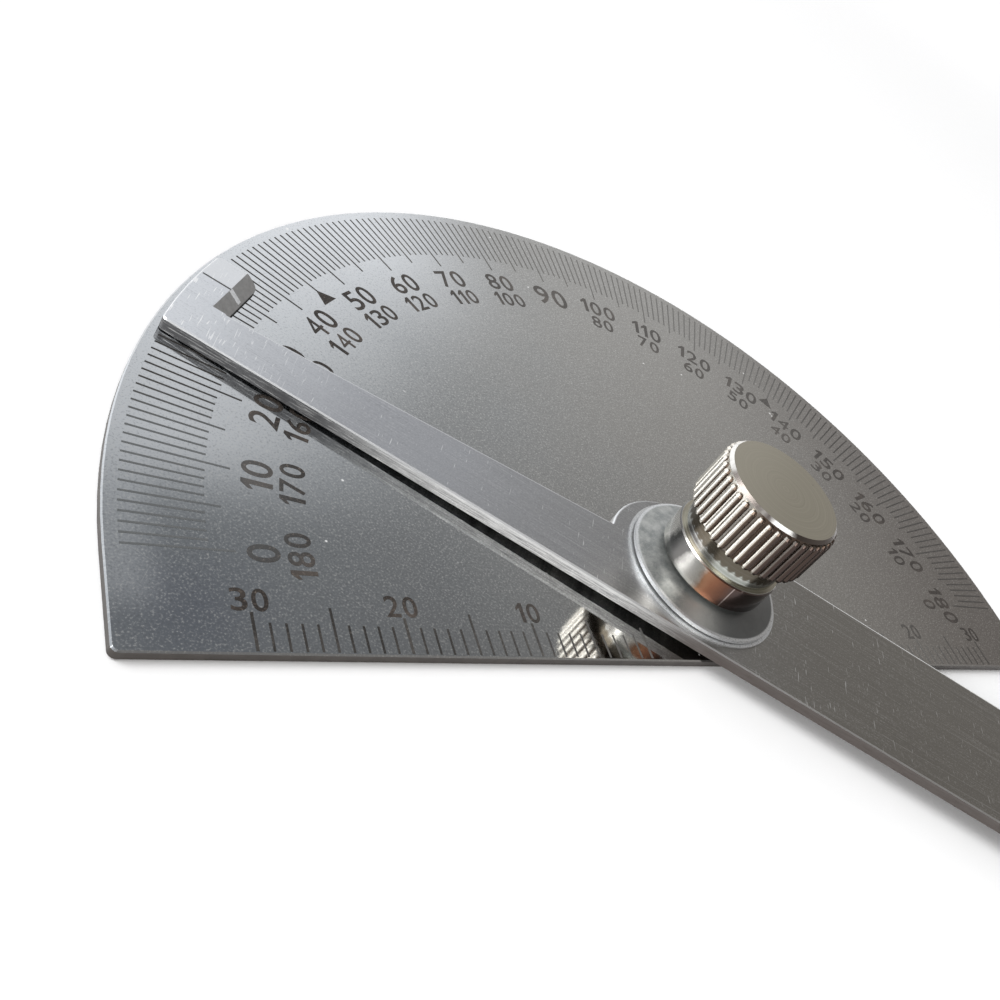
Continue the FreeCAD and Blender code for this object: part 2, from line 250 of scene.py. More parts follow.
def stretched(place, angle, length, width):
    """The place in a frame turned by angle, squeezed so that noise spots become streaks."""
    forward = (cos(radians(angle)), sin(radians(angle)), 0.0)
    sideways = (-sin(radians(angle)), cos(radians(angle)), 0.0)
    lengthwise = along(place, forward) * (1.0 / length)
    crosswise = along(place, sideways) * (1.0 / width)
    return vector_of(lengthwise, crosswise, along(place, (0.0, 0.0, 1.0)))


def scratches(place, angle, length, width, keep):
    """A mask of thin straight lines; a higher keep leaves fewer of them."""
    lines = noise(stretched(place, angle, length, width), 1.0, detail=0.0)
    return ramped(lines, keep, keep + 0.05)


def specks(place, size, spread, chance):
    """Round specks of about size millimetres, each in a cell of spread millimetres.

    A cell's own colour is random, so its red says whether the cell gets its speck.
    """
    cells = place.node("ShaderNodeTexVoronoi", {"Vector": place, "Scale": 1.0 / spread})
    colour = Signal(cells.tree, cells.socket.node.outputs["Color"])
    lottery = along(colour, (1.0, 0.0, 0.0))
    drawn = ramped(lottery, 1.0 - chance, 1.0 - chance + 0.01)
    return ramped(cells, size / spread, 0.4 * size / spread) * drawn


print("scratches, grain and specks ready")

# %% [markdown]
# ## The head's finish
# The head is a stamped sheet of stainless steel, polished over a fine crystal grain: it mirrors
# the arm and even the ridges of the nut. Such a sheet has one colour. Its broad tones, cold and
# pale along the left rim, dim and warm at the right, are a painted reflection of a room that a
# plain studio doesn't have. They are laid into the colour as a stand-in, and they turn with the
# piece. Loose dust and fine straight scratches lie on top. The stamped edge is darker and browner,
# and the broken corner gets a painted highlight.

# %% Where the head's broad tones lie
# Each pair is where a painted tone begins and where it is full, in millimetres from the pivot.
PIVOT_ON_TOP = (0.0, 0.0, plate_top * TO_MM)
COLD_TO_WARM = (-36.0, 24.0)
DARK_PATCH_AT = (-41.0, -4.0, plate_top * TO_MM)
DARK_PATCH_REACH = (10.0, 3.0)
DIM_END = (14.0, 44.0)
DIM_FOOT_UP = (9.0, 1.0)
DIM_FOOT_LEFT = (-16.0, -26.0)
BRIGHT_REFLECTION_OUT = (25.0, 46.0)
BRIGHT_REFLECTION_UP = (1.0, 10.0)
BRIGHT_REFLECTION_LEFT = (-2.0, -22.0)
PALE_RIM_OUT = (rim_radius * TO_MM - 3.0, rim_radius * TO_MM)
PALE_RIM_UP = (-5.5, -2.0)
PALE_RIM_LEFT = (-30.0, -40.0)
print("pale rim from", round(PALE_RIM_OUT[0], 2), "to", round(PALE_RIM_OUT[1], 2), "mm")

# %% Polished head steel
HEAD_CORNER_TILT = (0.55, 0.85)
SECOND_DUST = (7.3, 3.1, 0.0)


def sparkle(place):
    """The fine crystal grain of rolled steel, from -0.5 to 0.5."""
    return noise(place, 6.5, detail=2.0, rough=0.6) - 0.5


def broad_tones(steel, clouds):
    """The sheet's colour with broad tones of painted reflection laid on it."""
    place = steel.place
    rightwards = ramped(steel.x + clouds * 20.0, *COLD_TO_WARM)
    sheet = blended(rightwards, (0.305, 0.325, 0.34), (0.33, 0.322, 0.305))
    dark_patch = ramped(distance_to(place, DARK_PATCH_AT) + clouds * 6.0, *DARK_PATCH_REACH)
    sheet = blended(dark_patch * 0.62, sheet, (0.17, 0.19, 0.235))
    dim_end = ramped(steel.x, *DIM_END)
    sheet = blended(dim_end * 0.80, sheet, (0.155, 0.137, 0.127))
    dim_foot = ramped(steel.y, *DIM_FOOT_UP) * ramped(steel.x, *DIM_FOOT_LEFT)
    sheet = blended(dim_foot * 0.30, sheet, (0.17, 0.18, 0.195))
    from_pivot = distance_to(place, PIVOT_ON_TOP)
    bright_reflection = ramped(from_pivot + clouds * 5.0, *BRIGHT_REFLECTION_OUT) * ramped(steel.y, *BRIGHT_REFLECTION_UP)
    sheet = blended(bright_reflection * ramped(steel.x, *BRIGHT_REFLECTION_LEFT), sheet, (0.68, 0.70, 0.72))
    pale_rim = ramped(from_pivot + clouds * 2.0, *PALE_RIM_OUT) * ramped(steel.y, *PALE_RIM_UP)
    pale_rim = pale_rim * ramped(steel.x, *PALE_RIM_LEFT)
    return blended(pale_rim * 0.45, sheet, (0.62, 0.64, 0.66))


def head_finish():
    """Up is 1 on a level face and 0 on a wall, so the broken corner lies between."""
    steel = Finish("polished_head_steel")
    place = steel.place
    edge = steel.sides()
    corner = within(steel.up, *HEAD_CORNER_TILT, 0.05)
    clouds = noise(place, 0.09, detail=4.0)
    sheet = broad_tones(steel, clouds)

    fine = sparkle(place)
    sheet = blended(ramped(fine, 0.0, 0.3) * 0.70, sheet, (0.66, 0.66, 0.64))
    sheet = blended(ramped(fine, 0.0, -0.3) * 0.45, sheet, (0.14, 0.14, 0.14))
    lines = scratches(place, 62.0, length=5.0, width=0.06, keep=0.80)
    lines = lines + scratches(place, -38.0, length=6.0, width=0.06, keep=0.80)
    fine_dust = specks(place, size=0.14, spread=2.4, chance=0.30)
    dust = fine_dust + specks(shifted(place, SECOND_DUST), size=0.24, spread=7.0, chance=0.35)

    sheet = blended(lines * 0.35, sheet, (0.66, 0.66, 0.64))
    sheet = blended(dust * 0.8, sheet, (0.88, 0.88, 0.87))
    side = blended(noise(place, 1.2), (0.038, 0.032, 0.029), (0.085, 0.075, 0.067))
    # The broken corner is painted lighter, a painted highlight.
    colour = blended(corner * 0.35, sheet, (0.55, 0.56, 0.57))
    colour = blended(edge, colour, side)
    steel.set(Base_Color=colour, Metallic=1.0 - dust * 0.7 - edge * 0.4)
    steel.set(Roughness=0.055 + clouds * 0.03 + edge * 0.35 + dust * 0.3)
    steel.bump(fine + lines * 0.5, 0.0006, 0.5)
    return steel.material


head_steel = head_finish()
print("made", head_steel.name)

# %% [markdown]
# ## The arm's finish
# The arm is a ground strip: its grain runs along it, crossed by small nicks, and its broken long
# edges carry painted highlights as bright lines. The frame gives the direction of the grain, so it
# stays true to the arm. The top's change from bluish to dim and its pale index end are painted
# light, and its side has a painted highlight below the top corner and painted shade at both ends,
# in the same way as the head's broad tones.

# %% Where the arm's edges and tones lie
# Millimetres from the pivot: along the arm, negative towards the index, and across it.
ARM_FAR_EDGE = -6.5
FAR_EDGE_BRIGHT = (ARM_FAR_EDGE + 0.26, ARM_FAR_EDGE + 0.12)
POINTER_TAPER = 0.0947
POINTER_OFFSET = 0.405
POINTER_REACH = (-41.0, -8.8)
POINTER_EDGE = (0.24, 0.14)
HUB_CENTRE = arm_along * -1.5 + edge_out * 0.5 + Vector((0.0, 0.0, 2.4))
HUB_EDGE = (6.78, 6.88)
HUB_ALONG = (-1.5, -2.5)
HUB_ACROSS = (0.5, 0.3)
BLUISH_TO_DIM = (-24.0, 22.0)
PALE_END = (-24.0, -42.0)
LEAN_SLOPE = 0.01274
WALL_TOP = 2.45
WALL_BRIGHT = (WALL_TOP - 0.42, WALL_TOP - 0.22)
WALL_DARK_END = (-18.0, -31.0)
WALL_SHADE = (-7.0, 3.0)
print("the arm leans", round(degrees(atan2(LEAN_SLOPE, 1.0)), 2), "degrees")

# %% The arm's edges and side
CORNER_TILT = (0.55, 0.76)
BEVEL_TILT = (0.79, 0.90)


def bright_edges(place, lengthwise, across, wall):
    """Masks of the painted highlights on the far edge, and on the near edge along the pointer and
    round the hub.
    """
    far_edge = ramped(across, *FAR_EDGE_BRIGHT) * (1.0 - wall)
    from_pointer = across + lengthwise * POINTER_TAPER + POINTER_OFFSET
    pointer = within(lengthwise, *POINTER_REACH, 0.1)
    near_edge = ramped(from_pointer, *POINTER_EDGE) * pointer * (1.0 - wall)
    from_hub = distance_to(place, tuple(HUB_CENTRE))
    rounded = ramped(from_hub, *HUB_EDGE) * ramped(lengthwise, *HUB_ALONG)
    rounded = rounded * ramped(across, *HUB_ACROSS)
    return far_edge, near_edge + rounded * (1.0 - pointer)


def sheared_side(steel, lengthwise, clouds, fine, shade):
    """The arm's side: streaks along it, painted highlight below the top corner, painted shade at
    both ends.
    """
    height = steel.z - lengthwise * LEAN_SLOPE
    streaks = vector_of(lengthwise * 0.5, height * 9.0, 0.0)
    grooves = noise(streaks, 1.0, detail=5.0, rough=0.7)
    side = blended(ramped(grooves, 0.32, 0.68), (0.30, 0.30, 0.30), (0.80, 0.795, 0.78))
    side = blended(ramped(fine, 0.05, 0.25) * 0.5, side, (0.95, 0.95, 0.93))
    side = blended(ramped(height, *WALL_BRIGHT) * 0.5, side, (0.95, 0.95, 0.94))
    dark_end = ramped(lengthwise + clouds * 5.0, *WALL_DARK_END)
    dark_end = dark_end * (1.0 - ramped(grooves, 0.52, 0.66) * 0.5)
    side = blended(dark_end * 0.94, side, (0.055, 0.055, 0.058))
    return blended(shade * 0.95, side, (0.055, 0.042, 0.036))


print("the arm has two bright edges and a sheared side")

# %% Ground arm steel


def arm_finish():
    steel = Finish("ground_arm_steel")
    place = steel.place
    lengthwise = along(place, tuple(arm_along))
    grain_angle = degrees(atan2(arm_along.y, arm_along.x))
    across = along(place, tuple(edge_out))
    wall = steel.sides()
    far_edge, near_edge = bright_edges(place, lengthwise, across, wall)
    clouds = noise(place, 0.12, detail=4.0)
    fine = sparkle(place)
    shade = ramped(lengthwise + clouds * 3.0, *WALL_SHADE)

    # Painted light on the top: bluish towards the index, dim outwards and pale at the index end.
    outwards = ramped(lengthwise + clouds * 12.0, *BLUISH_TO_DIM)
    strip = blended(outwards, (0.42, 0.43, 0.455), (0.245, 0.235, 0.215))
    pale_end = ramped(lengthwise + clouds * 8.0, *PALE_END)
    strip = blended(pale_end, strip, (0.73, 0.75, 0.78))
    grain = noise(stretched(place, grain_angle, 8.0, 0.05), 1.0, detail=2.0) - 0.5
    strip = blended(ramped(grain + fine, 0.0, 0.5) * 0.45, strip, (0.80, 0.80, 0.80))
    strip = blended(ramped(grain + fine, 0.0, -0.5) * 0.40, strip, (0.12, 0.12, 0.12))
    lines = scratches(place, grain_angle + 2.0, length=20.0, width=0.07, keep=0.76)
    nicks = scratches(place, grain_angle + 95.0, length=1.1, width=0.10, keep=0.79)
    tip_nicks = scratches(place, grain_angle + 100.0, length=1.3, width=0.12, keep=0.70)
    strip = blended(lines * 0.25 + nicks * 0.7, strip, (0.85, 0.86, 0.86))
    strip = blended(tip_nicks * pale_end * 0.8, strip, (1.0, 1.0, 1.0))

    # The broken corners get a painted highlight, with painted shade on them towards the free end.
    corner = within(steel.up, *CORNER_TILT, 0.02)
    colour = blended(corner * 0.8, strip, (0.78, 0.79, 0.80))
    colour = blended(corner * shade * 0.6, colour, (0.30, 0.29, 0.28))
    # Painted highlights along the near and far edges.
    colour = blended(near_edge * 0.6, colour, (0.80, 0.81, 0.82))
    colour = blended(far_edge, colour, (0.92, 0.93, 0.93))
    mottle = noise(place, 3.0, detail=3.0)
    bevelled = blended(mottle, (0.28, 0.285, 0.29), (0.50, 0.505, 0.51))
    colour = blended(within(steel.up, *BEVEL_TILT, 0.02), colour, bevelled)
    colour = blended(wall, colour, sheared_side(steel, lengthwise, clouds, fine, shade))
    steel.set(Base_Color=colour, Metallic=1.0 - wall * 0.55 - far_edge * 0.5)
    steel.set(Roughness=0.30 + clouds * 0.08 + wall * 0.2)
    steel.bump(grain * 0.6 + fine * 0.4 + lines * 0.4, 0.002, 0.5)
    return steel.material


arm_steel = arm_finish()
print("made", arm_steel.name)

# %% [markdown]
# ## Washers
# The two thin washers under the nut look like zinc-plated steel: a mottled cold grey. The
# mottling is two sizes of noise. The rim gets a painted highlight, found by its distance from the
# pivot. A pale patch is painted reflection and a dim side is painted shade.

# %% Zinc washer finish
AWAY_FROM_WINDOW = (0.707, -0.707, 0.0)
PALE_PATCH_AT = (-3.2, -5.0, 3.0)
PALE_PATCH_REACH = (3.2, 1.0)
DIM_FLANK = (1.0, 5.5)


def washer_finish():
    zinc = Finish("zinc_washers")
    place = zinc.place
    radius = from_axis(place)
    spots = noise(place, 0.9, detail=5.0, rough=0.7)
    colour = blended(ramped(spots, 0.3, 0.75), (0.26, 0.275, 0.27), (0.50, 0.505, 0.49))
    fine = noise(place, 9.0, detail=2.0)
    colour = blended(ramped(fine, 0.5, 0.8) * 0.3, colour, (0.62, 0.62, 0.62))
    rim = washer_radius * TO_MM
    # Painted highlight on the rim, painted reflection in a pale patch, painted shade on the side
    # away from the window.
    bright_rim = within(radius, rim - 0.22, rim + 0.4, 0.08) * ramped(fine, 0.2, 0.5)
    pale_patch = ramped(distance_to(place, PALE_PATCH_AT) + spots * 1.5, *PALE_PATCH_REACH)
    colour = blended(pale_patch * 0.8, colour, (0.86, 0.87, 0.83))
    shaded = ramped(along(place, AWAY_FROM_WINDOW) + spots * 2.0, *DIM_FLANK)
    colour = blended(shaded * 0.88, colour, (0.11, 0.112, 0.112))
    colour = blended(bright_rim * 0.8, colour, (0.75, 0.76, 0.77))
    zinc.set(Base_Color=colour, Metallic=0.85, Roughness=0.36 + spots * 0.12)
    zinc.bump(fine, 0.003, 0.6)
    return zinc.material


washer_zinc = washer_finish()
print("made", washer_zinc.name)

# %% [markdown]
# ## The thumb nut
# The nut is a turned, bright-plated piece. Round metal mirrors everything about it, and that gives
# it silvery, copper brown and almost black bands. A plain studio can't give them, so the colour
# runs round the nut with the way its surface faces. These bands are a painted stand-in for a
# reflection, not wear that was seen, and they turn with the nut. The knurl has its own run of
# colours, because each ridge shows the silvery band only as a thin line; its grooves and far side
# get painted shade. The ring under the top carries a painted highlight. The neck has painted shade
# under the knurl with a scalloped border, one scallop a ridge.

# %% Colours round the nut
# Each run is painted reflection. A stop at 0 faces the window and a stop at 1 faces away from it.
COLLAR_RUN = (
    (0.00, (0.66, 0.65, 0.61)),
    (0.04, (0.70, 0.68, 0.64)),
    (0.08, (0.12, 0.12, 0.115)),
    (0.19, (0.13, 0.125, 0.12)),
    (0.27, (0.80, 0.78, 0.73)),
    (0.37, (0.76, 0.72, 0.65)),
    (0.43, (0.32, 0.17, 0.10)),
    (0.50, (0.23, 0.105, 0.062)),
    (0.61, (0.13, 0.065, 0.045)),
    (0.67, (0.090, 0.062, 0.055)),
    (0.90, (0.105, 0.094, 0.095)),
    (1.00, (0.17, 0.16, 0.16)),
)
NECK_RUN = (
    (0.00, (0.50, 0.51, 0.48)),
    (0.03, (0.60, 0.61, 0.58)),
    (0.07, (0.12, 0.115, 0.11)),
    (0.18, (0.13, 0.12, 0.11)),
    (0.25, (0.42, 0.40, 0.36)),
    (0.33, (0.24, 0.23, 0.20)),
    (0.46, (0.38, 0.40, 0.365)),
    (1.00, (0.26, 0.27, 0.245)),
)
KNURL_RUN = (
    (0.00, (0.80, 0.76, 0.68)),
    (0.28, (0.88, 0.83, 0.75)),
    (0.36, (0.88, 0.83, 0.75)),
    (0.42, (0.22, 0.165, 0.125)),
    (0.55, (0.08, 0.058, 0.045)),
    (1.00, (0.08, 0.062, 0.056)),
)
RING_RUN = (
    (0.14, (0.85, 0.83, 0.79)),
    (0.17, (0.85, 0.83, 0.79)),
    (0.20, (0.27, 0.24, 0.22)),
    (0.39, (0.24, 0.21, 0.19)),
    (0.43, (0.62, 0.58, 0.54)),
    (0.46, (0.28, 0.24, 0.22)),
    (0.51, (1.00, 0.99, 0.96)),
    (0.59, (0.95, 0.94, 0.91)),
    (0.64, (0.12, 0.10, 0.09)),
    (0.86, (0.15, 0.13, 0.12)),
)
print("stops round the collar:", len(COLLAR_RUN))

# %% Sizes and helpers for the nut
RIDGES = 40
RIDGE_DEPTH = 0.28
COLLAR_HEIGHT = 2.35
NECK_HEIGHT = 2.05
NECK_RADIUS = 4.70
KNURL_FOOT = nut_low.z * TO_MM + COLLAR_HEIGHT + NECK_HEIGHT
NUT_TOP = nut_top * TO_MM
FAR_SIDE = (0.2, 2.8)
LIT_SIDE = (2.0, -4.5)
FLASH = (0.49, 0.60)
SEAM = (0.660, 0.668)
TOP_TILT = (0.90, 0.98)
RING_TILT = (0.60, 0.80)


def scallops(nickel):
    """A wave round the nut with one arch a ridge."""
    half_turns = nickel.y.math("ARCTAN2", nickel.y, nickel.x) * (RIDGES / 2)
    wave = half_turns.math("SINE", half_turns)
    return wave.math("ABSOLUTE", wave)


def ring_mask(nickel, radius, crown):
    """The narrow sloping ring between the knurl and the top."""
    inside_ridges = ramped(radius, crown - RIDGE_DEPTH + 0.03, crown - RIDGE_DEPTH)
    ring = within(nickel.up, *RING_TILT, 0.03) * inside_ridges
    return ring * ramped(nickel.z, NUT_TOP - 0.5, NUT_TOP - 0.4)


def turned_top(place, radius):
    """The height of the flat top's turning rings, and its colour."""
    rings = noise(vector_of(radius * 6.0, 0.0, 0.0), 1.0, detail=3.0)
    faced = blended(rings, (0.27, 0.25, 0.195), (0.50, 0.465, 0.38))
    lit_side = ramped(along(place, AWAY_FROM_WINDOW), *LIT_SIDE)
    return rings, blended(lit_side * 0.45, faced, (0.52, 0.49, 0.41))


print("the knurl starts at", round(KNURL_FOOT, 2), "mm")

# %% Nickel-plated nut


def nut_finish():
    nickel = Finish("nickel_nut")
    place = nickel.place
    crown = nut_radius * TO_MM
    radius = from_axis(place)
    top = ramped(nickel.up, *TOP_TILT)
    bearing = along(nickel.facing, AWAY_FROM_WINDOW) * 0.5 + 0.5
    wavering = bearing + (noise(place, 0.9) - 0.5) * 0.10
    turned = noise(vector_of(nickel.z * 5.0, 0.0, 0.0), 1.0, detail=3.0)

    smooth = colour_along(wavering, *COLLAR_RUN)
    necked = colour_along(wavering, *NECK_RUN)
    ridged = colour_along(wavering, *KNURL_RUN)
    knurled = ramped(nickel.z, KNURL_FOOT - 0.05, KNURL_FOOT + 0.05) * (1.0 - top)
    neck = ramped(radius, NECK_RADIUS + 0.04, NECK_RADIUS - 0.04) * (1.0 - knurled)
    neck = neck * (1.0 - top)
    plating_and_painted_light = blended(neck, smooth, necked)
    plating_and_painted_light = blended(neck * ramped(turned, 0.45, 0.60) * 0.35, plating_and_painted_light, (0.86, 0.87, 0.84))
    # Painted shade on the knurl's far side.
    far_side = ramped(along(place, AWAY_FROM_WINDOW) + wavering, *FAR_SIDE)
    ridged = blended(far_side * 0.88, ridged, (0.062, 0.045, 0.040))
    plating_and_painted_light = blended(knurled, plating_and_painted_light, ridged)

    # Painted shade on the neck under the knurl, with a scalloped border.
    border = nickel.z + scallops(nickel) * 0.30
    dark_neck = ramped(border, KNURL_FOOT - 1.25, KNURL_FOOT - 0.95) * neck
    plating_and_painted_light = blended(dark_neck * 0.9, plating_and_painted_light, (0.10, 0.082, 0.058))
    # Painted shade in the knurl's grooves, deeper on the side away from the window.
    groove = ramped(radius, crown - 0.08, crown - 0.24) * knurled
    groove_tone = 0.12 + ramped(bearing, 0.20, 0.42) * 0.72
    plating_and_painted_light = blended(groove * groove_tone, plating_and_painted_light, (0.055, 0.038, 0.028))

    # The ring's run is painted reflection, and the flash on it is a painted highlight.
    ring = ring_mask(nickel, radius, crown)
    bright = colour_along(wavering, *RING_RUN)
    plating_and_painted_light = blended(ring, plating_and_painted_light, bright)
    flash = ring * within(wavering, *FLASH, 0.02)
    seam = within(bearing, *SEAM, 0.003) * (1.0 - knurled) * (1.0 - neck)
    plating_and_painted_light = blended(seam * 0.8, plating_and_painted_light, (0.50, 0.42, 0.39))

    rings, faced = turned_top(place, radius)
    pits = specks(place, size=0.10, spread=1.3, chance=0.4)
    colour = blended(top, plating_and_painted_light, faced)
    colour = blended(pits * 0.6, colour, (0.12, 0.10, 0.08))
    nickel.set(Base_Color=colour, Metallic=1.0 - flash * 0.75)
    nickel.set(Roughness=0.15 + top * 0.18 + knurled * 0.10 + turned * 0.06)
    nickel.bump(turned + top * (rings - turned), 0.004, 0.5)
    return nickel.material


nickel_plate = nut_finish()
print("made", nickel_plate.name)

# %% [markdown]
# ## Etched marks
# Graduations and numbers look etched and blackened: a matt dark brown, speckled where bright
# steel shows through. The closely spaced ticks are greyer than the numbers, so they get their
# own, paler mix. Both pale in the middle of the scale and at its low left, a stand-in for the
# picture's blur there, and are dark again at its right end.

# %% Etch finishes
PALE_MIDDLE = (-26.0, 8.0)
DEEP_AGAIN = (26.0, 36.0)
BLUR_UP = (15.0, 8.0)
BLUR_LEFT = (-30.0, -37.0)
BLUR_DOWN = (-2.0, 0.0)


def etch_finish(name, deep, bare, faded):
    etch = Finish(name)
    speckle = noise(etch.place, 5.0, detail=4.0, rough=0.7)
    patches = noise(etch.place, 0.35)
    colour = blended(ramped(speckle, 0.5, 0.75), deep, bare)
    colour = blended(ramped(patches, 0.45, 0.75) * 0.4, colour, bare)
    far_end = ramped(etch.x, *DEEP_AGAIN)
    middle = ramped(etch.x + patches * 8.0, *PALE_MIDDLE) * (1.0 - far_end * 0.7)
    colour = blended(middle * faded, colour, (0.22, 0.215, 0.205))
    colour = blended(far_end * 0.25, colour, (0.030, 0.022, 0.019))
    low_left = ramped(etch.y, *BLUR_UP) * ramped(etch.x, *BLUR_LEFT) * ramped(etch.y, *BLUR_DOWN)
    colour = blended(low_left * faded, colour, (0.16, 0.17, 0.175))
    etch.set(Base_Color=colour, Metallic=0.35, Roughness=0.5 + speckle * 0.2)
    etch.bump(speckle, 0.006, 0.7)
    return etch.material


number_etch = etch_finish("deep_etch", (0.022, 0.017, 0.014), (0.16, 0.13, 0.11), faded=0.30)
tick_etch = etch_finish("shallow_etch", (0.024, 0.021, 0.019), (0.12, 0.11, 0.10), faded=0.65)
print("made", number_etch.name, tick_etch.name)

# %% Give the solids their finishes
finish_of = {
    "head_plate": head_steel,
    "pivot_stud": head_steel,
    "spacer_washer": washer_zinc,
    "arm": arm_steel,
    "friction_washer": washer_zinc,
    "spring_washer": washer_zinc,
    "thumb_nut": nickel_plate,
}
for name, material in finish_of.items():
    solid = nodes[name]
    if not solid.material_slots:
        solid.data.materials.append(material)
    for holder in solid.material_slots:
        holder.material = material
print("dressed", len(finish_of), "solids")

# %% [markdown]
# ## The degree scale
# The scale runs clockwise from 0 at the left end of the base edge to 180 at the right. A mark at
# d degrees lies in the direction (-cos d, sin d) from the pivot. Every mark is a thin closed
# strip let into the plate: it stands a hundredth of a millimetre proud, enough to show and too
# little to see from the side.

# %% Strips let into the metal
MARK_PROUD = 0.010 * MM
MARK_SUNK = 0.006 * MM


def strip_points(start, end, width):
    """The four corners of a flat strip from start to end, counter-clockwise seen from above."""
    run = (end - start).normalized()
    side = Vector((-run.y, run.x)) * width / 2
    return [start - side, end - side, end + side, start + side]


def add_prism(points, faces, outline, base, top):
    """Adds a closed upright prism over a flat outline to the lists of points and faces."""
    first = len(points)
    count = len(outline)
    points.extend((x, y, base) for x, y in outline)
    points.extend((x, y, top) for x, y in outline)
    faces.append([first + i for i in reversed(range(count))])
    faces.append([first + count + i for i in range(count)])
    for i in range(count):
        j = (i + 1) % count
        faces.append([first + i, first + j, first + count + j, first + count + i])


def new_piece(name, points, faces, material, body):
    """A mesh piece that rides on a body and takes the finish it is given."""
    mesh = bpy.data.meshes.new(name)
    mesh.from_pydata([tuple(point) for point in points], [], faces)
    mesh.validate()
    mesh.update()
    mesh.materials.append(material)
    piece = bpy.data.objects.new(name, mesh)
    bpy.context.scene.collection.objects.link(piece)
    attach(piece, body)
    print(name, "has", len(mesh.polygons), "faces")
    return piece


# %% Degree ticks
TICK_OUTER = 44.6 * MM
TICK_INNER = {1: 39.5 * MM, 5: 38.5 * MM, 10: 37.9 * MM}
TICK_WIDTH = 0.15 * MM


def towards(angle):
    """The direction of a degree mark on the plate."""
    return Vector((-cos(radians(angle)), sin(radians(angle))))


def rank_of(number):
    """Which kind of tick a whole number gets: 10, 5 or 1."""
    return 10 if number % 10 == 0 else 5 if number % 5 == 0 else 1


points, faces = [], []
for degree in range(0, 181):
    rank = rank_of(degree)
    ray = towards(degree)
    outline = strip_points(ray * TICK_INNER[rank], ray * TICK_OUTER, TICK_WIDTH)
    add_prism(points, faces, outline, plate_top - MARK_SUNK, plate_top + MARK_PROUD)
new_piece("degree_ticks", points, faces, tick_etch, "head")

# %% [markdown]
# Two solid triangles point outwards at 45 and 135 degrees, the angles that are set most often.

# %% Arrowheads at 45 and 135 degrees
ARROW_TIP = 38.6 * MM
ARROW_LENGTH = 1.5 * MM
ARROW_WIDTH = 1.7 * MM
points, faces = [], []
for degree in (45, 135):
    ray = towards(degree)
    side = Vector((-ray.y, ray.x))
    foot = ray * (ARROW_TIP - ARROW_LENGTH)
    outline = [ray * ARROW_TIP, foot + side * ARROW_WIDTH / 2, foot - side * ARROW_WIDTH / 2]
    add_prism(points, faces, outline, plate_top - MARK_SUNK, plate_top + MARK_PROUD)
new_piece("angle_arrows", points, faces, number_etch, "head")

# %% [markdown]
# ## Numbers
# The numbers are plain upright sans digits with their tops outwards. Blender's text tool draws
# them from its own font; the outline is taken as a mesh, fitted to a given height and width and
# set down on the plate. Text meshes stay crisp in a close view, which a texture wouldn't.

# %% Turn digits into flat meshes
STROKE_GAIN = 0.010
DIGIT_WIDTH = 0.64
ONE_WIDTH = 0.37
DIGIT_GAP = 0.17
ONE_STEM = 0.19
ONE_FLAG = 0.24
FLAG_EDGE = 0.15
FLAG_ROOT = 0.74
TOP_CORNER = 0.03
DEPTH = Vector((0.0, 0.0, 1.0))


def one_outline():
    """The outline of a 1 with its flag, in a box one unit high, from its lower left."""
    stem = ONE_WIDTH - ONE_STEM
    return [
        (stem, 0.0),
        (ONE_WIDTH, 0.0),
        (ONE_WIDTH, 1.0),
        (stem + TOP_CORNER, 1.0),
        (0.0, 1.0 - ONE_FLAG),
        (0.0, 1.0 - ONE_FLAG - FLAG_EDGE),
        (stem, FLAG_ROOT),
    ]


def font_digit(digit):
    """Points and faces of a digit of Blender's own font, in a box DIGIT_WIDTH by one unit.

    The strokes are thickened a little, except for the 4, whose small opening would fill.
    """
    curve = bpy.data.curves.new("digit", "FONT")
    curve.body = digit
    curve.size = 1.0
    curve.resolution_u = 6
    curve.offset = 0.0 if digit == "4" else STROKE_GAIN
    curve.extrude = 0.5
    writer = bpy.data.objects.new("digit", curve)
    mesh = bpy.data.meshes.new_from_object(writer)
    corners = [vertex.co.copy() for vertex in mesh.vertices]
    faces = [list(polygon.vertices) for polygon in mesh.polygons]
    bpy.data.objects.remove(writer)
    bpy.data.curves.remove(curve)
    bpy.data.meshes.remove(mesh)
    low = Vector([min(corner[axis] for corner in corners) for axis in range(3)])
    high = Vector([max(corner[axis] for corner in corners) for axis in range(3)])
    size = high - low
    fit = Vector((DIGIT_WIDTH / size.x, 1.0 / size.y, 2.0 / size.z))
    points = [(corner - low) * fit - DEPTH for corner in corners]
    return points, faces


digit_shapes = {digit: font_digit(digit) for digit in "023456789"}
one_points, one_faces = [], []
add_prism(one_points, one_faces, one_outline(), -1.0, 1.0)
digit_shapes["1"] = ([Vector(point) for point in one_points], one_faces)
print("drew", len(digit_shapes), "digits")


def digits_mesh(text, height):
    """Points and faces of a number of this height, centred on a plane of its own."""
    widths = [ONE_WIDTH if digit == "1" else DIGIT_WIDTH for digit in text]
    total = sum(widths) + DIGIT_GAP * (len(text) - 1)
    points, faces, left = [], [], -total / 2
    for digit, width in zip(text, widths):
        first = len(points)
        for corner in digit_shapes[digit][0]:
            flat = ((corner.x + left) * height, (corner.y - 0.5) * height)
            points.append(Vector((*flat, corner.z)))
        faces.extend([first + corner for corner in face] for face in digit_shapes[digit][1])
        left += width + DIGIT_GAP
    return points, faces


def set_down(points, faces, shape, centre, upwards):
    """Adds a digit shape to the lists, centred on a place on the plate, its top towards upwards."""
    rightwards = Vector((upwards.y, -upwards.x))
    first = len(points)
    for corner in shape[0]:
        spot = centre + rightwards * corner.x + upwards * corner.y
        height = plate_top + (MARK_PROUD if corner.z > 0 else -MARK_SUNK)
        points.append((spot.x, spot.y, height))
    faces.extend([first + corner for corner in face] for face in shape[1])


